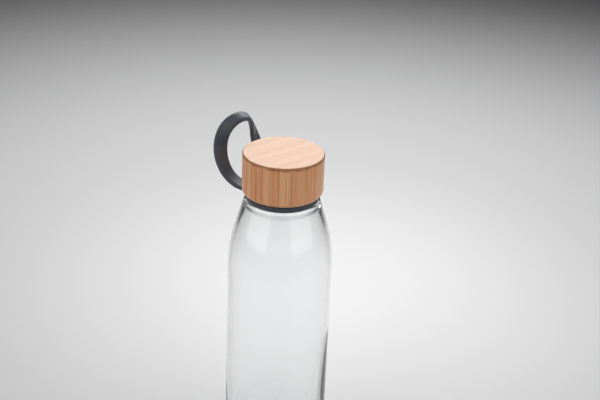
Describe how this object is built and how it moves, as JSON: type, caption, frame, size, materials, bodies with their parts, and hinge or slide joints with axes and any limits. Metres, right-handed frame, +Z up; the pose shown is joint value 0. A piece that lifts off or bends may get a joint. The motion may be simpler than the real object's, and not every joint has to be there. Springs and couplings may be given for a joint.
{
  "type": "glass water bottle",
  "caption": "Slim clear glass drinking bottle with a screw-on turned bamboo cap and a silicone neck ring whose carry loop stands up behind the cap.",
  "frame": {"origin": "centre of the flat base, on the axis of the bottle, in the plane that it stands on", "axes": "+Z up along the axis, from the base to the cap. +Y towards the back, where the carry loop is. +X to the right when the bottle is seen from the front with the loop behind it."},
  "size_m": [0.066, 0.0842, 0.2329],
  "materials": {
    "glass": "clear, polished",
    "strap_silicone": "satin",
    "bamboo": "satin, sanded",
    "liner_plastic": "moulded, satin",
    "gasket_silicone": "matte, translucent"
  },
  "bodies": {
    "bottle": {"glass_body": "glass"},
    "ring": {"neck_ring": "strap_silicone"},
    "loop": {"carry_loop": "strap_silicone"},
    "seal": {"sealing_gasket": "gasket_silicone"},
    "cap": {"cap_shell": "bamboo", "cap_liner": "liner_plastic"}
  },
  "joints": [
    {"name": "strap_swivel", "type": "hinge", "parent": "bottle", "child": "ring", "pos_m": [0, 0, 0.19325], "axis": [0, 0, 1], "continuous": true},
    {"name": "loop_fold", "type": "hinge", "parent": "ring", "child": "loop", "pos_m": [0, 0.0245, 0.19325], "axis": [-1, 0, 0], "range_deg": [-15, 70], "stiffness_Nm_per_rad": 0.05},
    {"name": "cap_rise", "type": "slide", "parent": "bottle", "child": "seal", "axis": [0, 0, 1], "range_m": [0, 0.028]},
    {"name": "cap_turn", "type": "hinge", "parent": "seal", "child": "cap", "pos_m": [0, 0, 0.2], "axis": [0, 0, 1], "range_deg": [0, 1260]}
  ],
  "couplings": [
    {"joint": "cap_turn", "follows": "cap_rise", "rad_per_m": 785.39}
  ]
}
